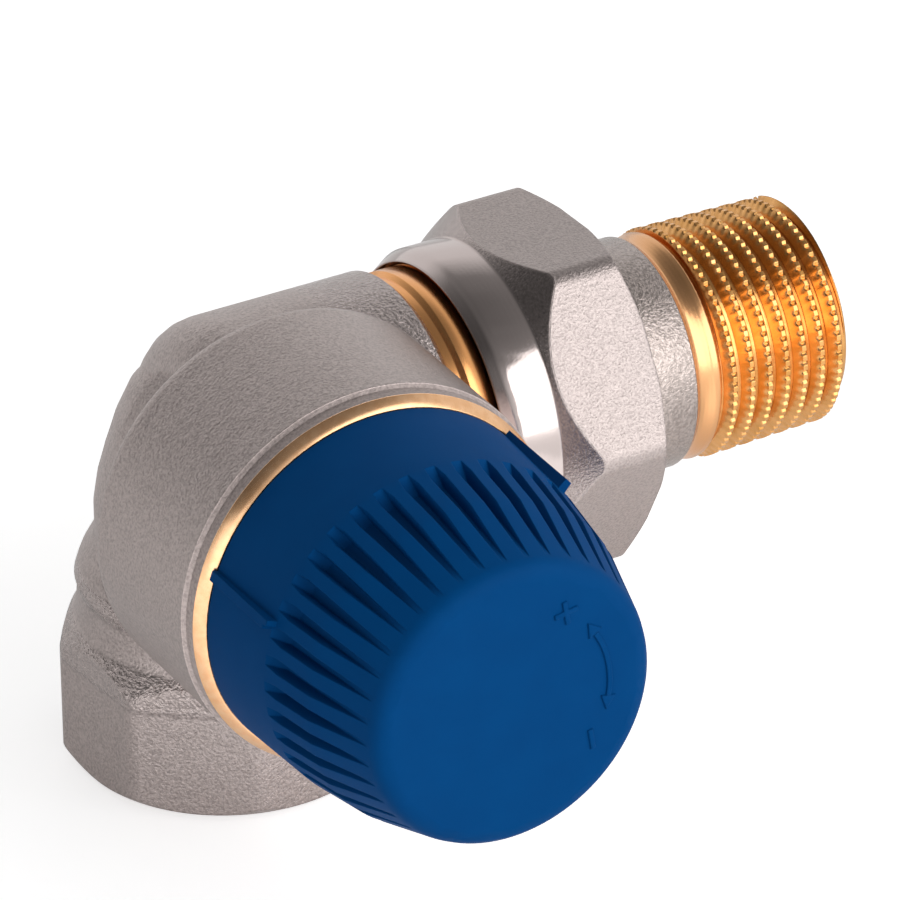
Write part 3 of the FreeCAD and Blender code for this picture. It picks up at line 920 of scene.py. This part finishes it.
@dataclass
class ValveHousing:
    """The cast body with its three threads."""

    frame: dict
    union_radius: float = 13.15
    union_root: float = 12.1
    union_room: float = 18.3
    union_step: float = 0.4
    union_span: tuple[float, float] = (18.8, 26.9)
    head_radius: float = 14.95
    head_root: float = 14.1
    head_room: float = -27.9    # in Y of the part's frame
    head_span: tuple[float, float] = (24.2, 31.4)
    inlet_radius: float = 9.32
    inlet_root: float = 10.3
    inlet_room: float = 13.3
    inlet_span: tuple[float, float] = (0.9, 12.9)
    wall_margin: float = 0.01

    def build(self) -> None:
        """Model the casting and its threads, and dress them."""
        finish = CastNickel().material()
        body = copy_of_node(self.frame, "valve_body", "casting", 34.0)
        self.cut_thread_rooms(body)
        dress(body, finish, "valve", ["valve_body"])
        threads = (
            Thread("union_thread", Place.UNION, self.union_root, self.union_radius, PIPE_PITCH,
                   *self.union_span),
            Thread("head_thread", Place.HEAD, self.head_root, self.head_radius, HEAD_PITCH,
                   *self.head_span),
            Thread("inlet_thread", Place.INLET, self.inlet_root, self.inlet_radius, PIPE_PITCH,
                   *self.inlet_span),
        )
        for thread in threads:
            dress(thread.finished(), finish, "valve")

    def cut_thread_rooms(self, body: bpy.types.Object) -> None:
        """Take the round faces that carry threads back to the threads' roots.

        Args:
            body: The copy of the casting.
        """
        after_step = self.union_room + self.union_step / 2
        rooms = (
            (Place.UNION, self.union_radius, self.union_root, lambda p: p.x > after_step * MM),
            (Place.HEAD, self.head_radius, self.head_root, lambda p: p.y < self.head_room * MM),
            (Place.INLET, self.inlet_radius, self.inlet_root, lambda p: p.z < self.inlet_room * MM),
        )
        with Bench(body) as bench:
            for cut in (self.union_room, self.union_room + self.union_step):
                bpy.ops.mesh.select_all(action="SELECT")
                bpy.ops.mesh.bisect(plane_co=(cut * MM, 0, 0), plane_no=(1, 0, 0), threshold=CUT_WIDTH)
            for place, radius, root, zone in rooms:
                matrix = place.matrix()
                inverse = matrix.inverted()

                def on_wall(point: Vector) -> bool:
                    """Tell whether a point lies on the round face."""
                    local = inverse @ point
                    off = abs(math.hypot(local.x, local.y) / MM - radius)
                    return zone(point) and off < self.wall_margin

                count = bench.pick(on_wall)
                across = matrix.to_3x3() @ Vector((0, 0, 1))
                bench.scale(tuple(1.0 if abs(part) > 0.5 else root / radius for part in across),
                            matrix.translation)
                LOG.info("thread room on the %s axis: %d points", place.value, count)


@dataclass
class UnionNut:
    """The hexagon nut of the union."""

    frame: dict

    def build(self) -> None:
        """Dress the nut."""
        nut = copy_of_node(self.frame, "union_nut", "hexagon_nut", 34.0)
        dress(nut, NutNickel().material(), "nut", ["union_nut"])


@dataclass
class Tail:
    """The tailpiece with its taper thread, whose crest is notched all round."""

    frame: dict
    thread_start: float = 42.05
    thread_end: float = 54.75
    crest_at: float = 43.31
    taper_from: float = 45.2
    crest: float = 10.50
    depth: float = 0.92
    taper: float = 1 / 46
    flanks: Profile = ((0.0, 0.2), (0.28, 0.33), (1.0, 0.76))
    notches: int = 70
    notch_depth: float = 0.24
    notch_share: float = 0.26
    steps_per_notch: int = 4
    bore: float = 7.2
    nose: float = 9.24
    ring_groove: float = 7.64
    flange: float = 12.2
    end: float = 55.2

    def core(self) -> bpy.types.Object:
        """Turn the tailpiece without its thread.

        Returns:
            The piece.
        """
        root = self.crest - self.depth
        root_start = root + (self.taper_from - self.thread_start) * self.taper
        root_end = root - (self.end - self.taper_from) * self.taper
        inner_end = [(self.bore, 23.3), (self.nose - 0.6, 23.3), (self.nose, 23.9), (self.nose, 24.5),
                     (self.ring_groove, 24.5), (self.ring_groove, 26.4), (self.nose, 26.4),
                     (self.nose, 27.5), (self.flange, 27.5), (self.flange, 30.5)]
        shoulder = [(10.5, 30.5), (10.5, 38.95), (10.42, 39.15), (10.14, 39.4), (10.08, 39.7), (10.1, 40.2),
                    (10.2, 40.8), (10.32, 41.3), (10.28, 41.45), (10.0, 41.7)]
        outer_end = [(root_start, 41.95), (root_end, self.thread_end), (root_end - 0.15, self.end - 0.2),
                     (root_end - 0.5, self.end), (self.bore + 0.9, self.end),
                     (self.bore + 0.6, self.end - 0.15), (self.bore, self.end - 0.9)]
        return turned("tail_core", inner_end + shoulder + outer_end, Place.UNION, 128, 38.0)

    def thread(self) -> bpy.types.Object:
        """Model the taper thread with its notched crest.

        Returns:
            The ridge.
        """
        ridge = Thread("tail_thread", Place.UNION, self.crest - self.depth, self.crest, PIPE_PITCH,
                       self.thread_start, self.thread_end, self.crest_at, self.flanks,
                       self.notches * self.steps_per_notch, 0.25).build()

        def on_notch(point: Vector) -> bool:
            """Tell whether a point of the crest lies in a notch."""
            turn = math.atan2(point.y, point.x) / FULL_TURN * self.notches
            on_crest = math.hypot(point.x, point.y) > (self.crest - 0.02) * MM
            return on_crest and (turn + 0.5 / self.steps_per_notch) % 1.0 > 1.0 - self.notch_share

        with Bench(ridge) as bench:
            bench.pick(on_notch)
            factor = 1.0 - self.notch_depth / self.crest
            bench.scale((factor, factor, 1.0), Vector((0, 0, 0)))
            bench.pick(lambda p: True)
            bpy.ops.transform.translate(value=(0, 0, -self.taper_from * MM))
        apply_modifier(ridge, "SIMPLE_DEFORM", deform_method="TAPER", deform_axis="Z",
                       factor=-self.taper * (self.thread_end - self.thread_start) / self.crest)
        with Bench(ridge):
            bpy.ops.mesh.select_all(action="SELECT")
            bpy.ops.transform.translate(value=(0, 0, self.taper_from * MM))
        settle(ridge, Place.UNION)
        close_up(ridge, 24.0)
        return ridge

    def build(self) -> None:
        """Model and dress the tailpiece."""
        finish = TailBrass().material()
        dress(self.core(), finish, "tail", ["tailpiece"])
        dress(self.thread(), finish, "tail")


@dataclass
class ProtectiveCap:
    """The fluted cap with its raised turning signs."""

    frame: dict
    base: float = 23.5
    base_drop: float = 0.24
    face: float = 46.0
    sign_radius: float = 8.95
    sign_rise: float = 0.16
    sign_turn: float = 9.0
    bar: float = 0.46
    arm: float = 1.1
    minus_arm: float = 0.95
    barb: float = 0.7
    arrow_length: float = 1.35
    edge_cut: float = 0.05
    plus_at: float = 32.7
    minus_at: float = 126.4
    arc_from: float = 58.0
    arc_to: float = 100.0

    def sign(self, name: str, corners: Profile, degrees: float, turn: float) -> bpy.types.Object:
        """Raise a small sign on the face.

        Args:
            name: The object's name.
            corners: Its corners in millimetres.
            degrees: Its place round the face, from straight up towards +X.
            turn: How far it is turned against the clock, in degrees.

        Returns:
            The sign.
        """
        angle = math.radians(degrees)
        centre = Vector((math.sin(angle), math.cos(angle))) * self.sign_radius
        matrix = Matrix.Rotation(math.radians(turn), 2)
        placed = [tuple(centre + matrix @ Vector(corner)) for corner in corners]
        return raised(name, placed, self.face - self.sign_rise, self.face + self.sign_rise, Place.HEAD)

    def arc_sign(self) -> bpy.types.Object:
        """Model the curved bar of the arrow by spinning a small section about the head axis.

        Returns:
            The arc.
        """
        half = self.bar / 2
        inner, outer = self.sign_radius - half, self.sign_radius + half
        low, high = self.face - self.sign_rise, self.face + self.sign_rise
        piece = outline("turning_arc", section([
            (inner, low), (outer, low), (outer, high - self.edge_cut), (outer - self.edge_cut, high),
            (inner + self.edge_cut, high), (inner, high - self.edge_cut)]))
        take(piece)
        piece.matrix_world = Matrix.Rotation(math.radians(90.0 - self.arc_from), 4, "Z")
        bpy.ops.object.transform_apply(location=False, rotation=True, scale=False)
        with Bench(piece):
            bpy.ops.mesh.select_all(action="SELECT")
            bpy.ops.mesh.spin(steps=24, angle=math.radians(self.arc_to - self.arc_from), center=(0, 0, 0),
                              axis=(0, 0, 1))
            bpy.ops.mesh.select_all(action="SELECT")
            bpy.ops.mesh.fill_holes(sides=0)
        settle(piece, Place.HEAD)
        close_up(piece, 30.0)
        return piece

    def build(self) -> None:
        """Model and dress the cap and its signs."""
        finish = CapPlastic().material()
        cap = copy_of_node(self.frame, "protective_cap", "fluted_cap", 30.0)
        with Bench(cap) as bench:
            bench.pick(lambda p: p.y > (AXIS_SETBACK - self.base - 0.02) * MM)
            bpy.ops.transform.translate(value=(0, self.base_drop * MM, 0))
        dress(cap, finish, "cap", ["protective_cap"])
        half, arm, bar_end = self.bar / 2, self.arm, self.minus_arm
        plus = [(arm, half), (half, half), (half, arm), (-half, arm), (-half, half), (-arm, half),
                (-arm, -half), (-half, -half), (-half, -arm), (half, -arm), (half, -half), (arm, -half)]
        minus = [(half, bar_end), (-half, bar_end), (-half, -bar_end), (half, -bar_end)]
        head = [(self.barb, 0.0), (0.0, self.arrow_length), (-self.barb, 0.0)]
        signs = [
            self.sign("plus_sign", plus, self.plus_at, self.sign_turn),
            self.sign("minus_sign", minus, self.minus_at, self.sign_turn),
            self.arc_sign(),
            self.sign("arrow_head_open", head, self.arc_from, 90.0 - self.arc_from),
            self.sign("arrow_head_shut", head, self.arc_to, 270.0 - self.arc_to),
        ]
        for sign in signs:
            dress(sign, finish, "cap")


@dataclass
class InnerPieces:
    """The pieces inside the body, which keep their own solids."""

    frame: dict
    steel: Metal = Metal((0.56, 0.56, 0.57), (0.46, 0.46, 0.47), 0.24)
    brass: Metal = Metal((0.80, 0.52, 0.22), (0.68, 0.40, 0.14), 0.24)
    steel_nodes: Sequence[str] = ("guide_bush", "spindle", "pressure_pin", "return_spring", "spindle_circlip")
    brass_nodes: Sequence[str] = ("insert_housing", "gland_nut", "gland_spacer_ring", "spring_washer",
                                  "plug_carrier", "plug_washer", "plug_nut")
    rubber_nodes: Sequence[str] = ("insert_seal_ring", "gland_seal_ring", "stem_seal_rings", "plug_seal",
                                   "tail_seal_ring")

    def build(self) -> None:
        """Dress the inner pieces."""
        groups = (
            (TurnedMetal("drawn_stainless_steel", self.steel).material(), self.steel_nodes),
            (TurnedMetal("turned_brass", self.brass).material(), self.brass_nodes),
            (SealRubber().material(), self.rubber_nodes),
        )
        for material, nodes in groups:
            for node in nodes:
                piece = self.frame["nodes"][node]
                piece.data.materials.clear()
                piece.data.materials.append(material)
                LOG.info("node %s keeps its solid", node)


# Studio


@dataclass(frozen=True)
class Lamp:
    """A soft square lamp that looks at the valve."""

    name: str
    direction: tuple[float, float, float]
    distance: float
    size: float
    power: float

    def build(self, target: Vector) -> None:
        """Hang the lamp.

        Args:
            target: The point that it looks at.
        """
        data = bpy.data.lights.new(self.name, "AREA")
        data.shape = "SQUARE"
        data.size = self.size
        data.energy = self.power
        lamp = bpy.data.objects.new(self.name, data)
        bpy.context.scene.collection.objects.link(lamp)
        towards = Vector(self.direction).normalized()
        lamp.location = target + towards * self.distance
        lamp.rotation_euler = towards.to_track_quat("Z", "Y").to_euler()


@dataclass
class Studio:
    """Pale floor, soft lamps, plain world and the photograph's camera."""

    target: Vector = field(default_factory=lambda: Vector((0.010, -0.015, 0.028)))
    floor_level: float = -0.0005
    floor_colour: Colour = (0.90, 0.90, 0.90)
    camera_place: tuple[float, float, float] = (-299.735, -571.923, 399.811)
    camera_turn: tuple[float, float, float] = (60.0803, 0.5992, -29.7639)
    focal_pixels: float = 8607.95
    image_pixels: float = 900.0
    sky: Profile = ((0.0, 0.95), (0.5, 0.92), (0.63, 0.72), (0.78, 0.30), (1.0, 0.16))
    left_shade: float = 0.85
    left_edge: tuple[float, float] = (0.42, 0.3)        # middle and half width of the change
    shade_foot: tuple[float, float] = (0.20, 0.18)
    floor_size: float = 8.0
    floor_lift: float = 0.62
    # painted reflection: the floor's glow as seen in the metal, low everywhere and rising in front
    painted_reflection_low: float = 0.20
    painted_reflection_rise: float = 1.6
    bright_front: tuple[float, float] = (-44.0, 35.0)   # middle and half width on the floor
    bright_right: tuple[float, float] = (56.0, 8.0)
    right_fall: float = 0.75
    lamps: Sequence[Lamp] = (
        Lamp("front_right_softbox", (0.44, -0.80, 0.40), 1.0, 0.90, 5.4),
        Lamp("left_softbox", (-0.75, -0.60, 0.12), 0.9, 0.50, 1.2),
    )

    def world(self) -> None:
        """Make a plain world, pale near the horizon and darker overhead and on the left."""
        bpy.context.scene.world = bpy.data.worlds.new("studio")
        paint = Paint(bpy.context.scene.world)
        x, y, z = paint.spread(paint.add("ShaderNodeTexCoord", {}, {}, "Generated"))
        level: Wire | float = self.sky[0][1]
        for (low, before), (high, after) in zip(self.sky, self.sky[1:]):
            values = {0: z, 1: low, 2: high, 3: 0.0, 4: after - before}
            level = paint.add("ShaderNodeMapRange", {"clamp": True}, values) + level
        shade = (0.0 - x).above(*self.left_edge) * z.above(*self.shade_foot)
        level = level * (1.0 - shade * self.left_shade)
        colour = paint.mix(level, (0.0, 0.0, 0.0), (1.0, 1.0, 1.0))
        sky = paint.add("ShaderNodeBackground", {}, {"Color": colour, "Strength": 1.0})
        paint.add("ShaderNodeOutputWorld", {}, {"Surface": sky})

    def floor(self) -> None:
        """Lay a pale floor, which also glows for glossy rays, more in front and less on the right: a painted
        reflection in the metal, though the floor is no lamp.
        """
        bpy.ops.mesh.primitive_plane_add(size=self.floor_size, location=(0, 0, self.floor_level))
        floor = bpy.context.active_object
        floor.name = "studio_floor"
        take(floor)
        bpy.ops.object.transform_apply(location=True, rotation=True, scale=True)
        paint = Paint.material("studio_floor")
        path = paint.add("ShaderNodeLightPath", {}, {}, "Is Camera Ray")
        outputs = path.socket.node.outputs
        mirrored = Wire(paint, outputs["Is Glossy Ray"]).larger(Wire(paint, outputs["Is Transmission Ray"]))
        x, y, _ = paint.coordinates()
        # painted reflection: for glossy and transmission rays the floor glows more in front and less on the
        # right, though it is no lamp
        front = (1.0 - y.above(*self.bright_front)) * (1.0 - x.above(*self.bright_right) * self.right_fall)
        seen = path * self.floor_lift + mirrored * (front * self.painted_reflection_rise + self.painted_reflection_low)
        floor.data.materials.append(paint.finish({
            "Base Color": self.floor_colour, "Roughness": 0.9, "Specular IOR Level": 0.0,
            "Emission Color": paint.mix(seen, (0.0, 0.0, 0.0), (1.0, 1.0, 1.0)), "Emission Strength": 1.0}))

    def camera(self) -> None:
        """Set the photograph's camera."""
        data = bpy.data.cameras.new("photograph_camera")
        data.sensor_width = 36.0
        data.lens = self.focal_pixels / self.image_pixels * data.sensor_width
        data.clip_end = 20.0
        camera = bpy.data.objects.new("photograph_camera", data)
        bpy.context.scene.collection.objects.link(camera)
        camera.location = Vector(self.camera_place) * MM
        camera.rotation_euler = tuple(math.radians(a) for a in self.camera_turn)
        bpy.context.scene.camera = camera

    def build(self) -> None:
        """Set up the whole studio."""
        self.world()
        self.floor()
        for lamp in self.lamps:
            lamp.build(self.target)
        self.camera()
        bpy.context.scene.view_settings.view_transform = "Standard"


def main() -> None:
    """Build every sub-assembly in order."""
    logging.basicConfig(level=logging.INFO)
    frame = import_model()
    deselect()
    for part in (ValveHousing(frame), UnionNut(frame), Tail(frame), ProtectiveCap(frame), InnerPieces(frame)):
        part.build()
        LOG.info("built %s", type(part).__name__)
    Studio().build()


if __name__ == "__main__":
    main()
